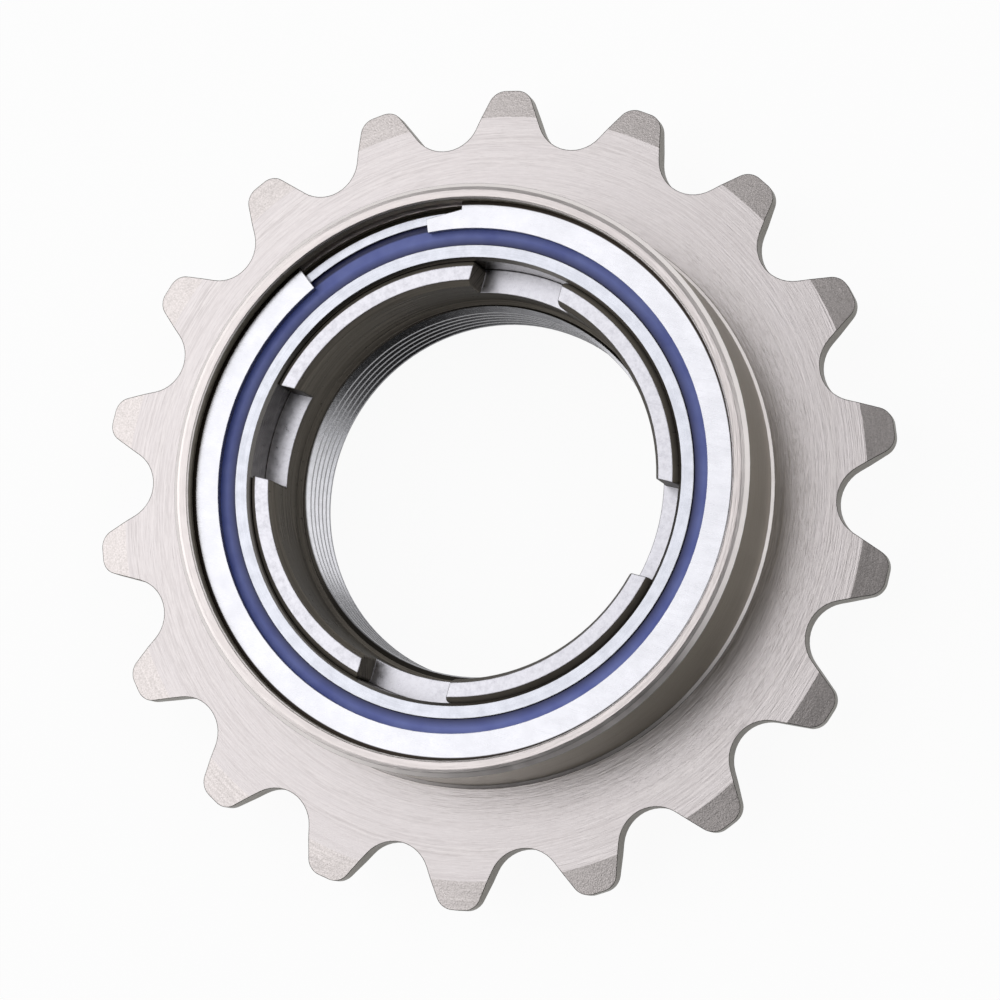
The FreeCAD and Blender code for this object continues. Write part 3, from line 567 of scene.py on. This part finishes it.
select_nothing()
bpy.ops.mesh.primitive_plane_add(size=FLOOR_SIDE, location=(0, 0, -FLOOR_DROP * MM))
floor = bpy.context.object
floor.name = floor.data.name = "floor"
sheet, tree = new_material("white_paper_sheet")
seen = add_node(tree, "ShaderNodeLightPath").outputs
rays = {0: seen["Is Camera Ray"], 1: seen["Is Transmission Ray"]}
direct = add_node(tree, "ShaderNodeMath", rays, operation="MAXIMUM").outputs[0]
direct = add_node(tree, "ShaderNodeMath", {0: direct, 1: 1 - SHADOW_SHARE}, operation="MULTIPLY").outputs[0]
mirrored = add_node(tree, "ShaderNodeMath", {0: seen["Is Glossy Ray"], 1: MIRRORED_WHITE}, operation="MULTIPLY")
share = add_node(tree, "ShaderNodeMath", {0: direct, 1: mirrored.outputs[0]}, operation="MAXIMUM")
paper = add_node(tree, "ShaderNodeBsdfDiffuse", {"Color": linear("#F4F4F4")})
white = add_node(tree, "ShaderNodeEmission", {"Color": linear("#FFFFFF"), "Strength": 1.0})
mixed = {0: share.outputs[0], 1: paper.outputs[0], 2: white.outputs[0]}
surface = add_node(tree, "ShaderNodeMixShader", mixed).outputs[0]
floor.data.materials.append(finish_surface(sheet, tree, surface, "#F4F4F4"))
print("floor", FLOOR_SIDE, "m across")

# %% [markdown]
# The room's brightness depends on the direction alone. How close a direction lies to the camera's
# side is the dot product of the two, which is 1 where they agree.

# %% Room


def closeness(tree, towards, direction):
    """The cosine of the angle between a ray and a direction."""
    inputs = {0: towards, 1: Vector(direction).normalized()}
    return add_node(tree, "ShaderNodeVectorMath", inputs, operation="DOT_PRODUCT").outputs["Value"]


room = bpy.data.worlds.new("studio_room")
bpy.context.scene.world = room
room.use_nodes = True
tree = room.node_tree
tree.nodes.clear()
seen = add_node(tree, "ShaderNodeLightPath").outputs
towards = add_node(tree, "ShaderNodeTexCoord").outputs["Generated"]
rise = add_node(tree, "ShaderNodeSeparateXYZ", {0: towards}).outputs[2]
walls_seen = between(tree, rise, 0.25, 0.5, SWEEP_WHITE, ROOM_GREY)
round_camera = between(tree, closeness(tree, towards, CAMERA_SIDE), 0.76, 0.95, 1.0, 0.04)
stood_in = between(tree, closeness(tree, towards, STANDING_SIDE), 0.6, 0.8, 1.0, 0.08)
shaded = add_node(tree, "ShaderNodeMath", {0: round_camera, 1: stood_in}, operation="MULTIPLY").outputs[0]
grey = add_node(tree, "ShaderNodeMath", {0: walls_seen, 1: shaded}, operation="MULTIPLY").outputs[0]
inputs = {"Value": seen["Is Camera Ray"], "To Min": grey, "To Max": 1.0}
strength = add_node(tree, "ShaderNodeMapRange", inputs).outputs[0]
air = add_node(tree, "ShaderNodeBackground", {"Color": linear("#FFFFFF"), "Strength": strength})
add_node(tree, "ShaderNodeOutputWorld", {"Surface": air.outputs[0]})
print("room grey", ROOM_GREY, "and near the horizon", SWEEP_WHITE)

# %% [markdown]
# Flat steel only looks white where it mirrors something white. A large soft box hangs over the
# left of the part, where its flat faces and the left bevels mirror it. A long strip to the right
# lights the upper flanks of the thread over a quarter of the bore, and leaves flat faces alone.

# %% Soft boxes


def soft_box(label, direction, distance, width, height, brightness):
    """A rectangular lamp that faces the part. Brightness is what a mirror would show of it."""
    lamp = bpy.data.lights.new(label, "AREA")
    lamp.shape = "RECTANGLE"
    lamp.size, lamp.size_y = width, height
    lamp.energy = brightness * math.pi * width * height
    holder = bpy.data.objects.new(label, lamp)
    bpy.context.scene.collection.objects.link(holder)
    away = Vector(direction).normalized()
    holder.location = away * distance
    holder.rotation_euler = away.to_track_quat("Z", "Y").to_euler()
    print(label, "energy", round(lamp.energy, 3), "W")
    return holder


soft_box("overhead_box", (-0.62, -0.05, 0.78), 1.0, 1.2, 1.25, 1.28)
soft_box("side_strip", (0.573, 0.292, 0.766), 1.0, 1.0, 0.35, 1.3)

# %% [markdown]
# The photograph looks down at the front face from about nineteen degrees off the axis. The
# camera's place was worked out from the circles of the bearing and the tips of the teeth.

# %% Camera
CAMERA_PLACE = (95.763, -23.433, 290.442)
CAMERA_TURN = (9.3585, 16.4713, 16.3575)
CAMERA_LENS = 118.23

camera = bpy.data.cameras.new("camera")
camera.lens = CAMERA_LENS
camera.sensor_width = 36.0
camera.clip_start = 0.01
viewer = bpy.data.objects.new("camera", camera)
bpy.context.scene.collection.objects.link(viewer)
viewer.location = Vector(CAMERA_PLACE) * MM
viewer.rotation_euler = [math.radians(turn) for turn in CAMERA_TURN]
bpy.context.scene.camera = viewer
bpy.context.scene.view_settings.view_transform = "Standard"
print("camera", round(viewer.location.length, 3), "m from the origin")

# %% [markdown]
# Last, the view layer is brought up to date. The new pieces have to stay inside the size of the
# solids.

# %% Update the view layer
bpy.context.view_layer.update()
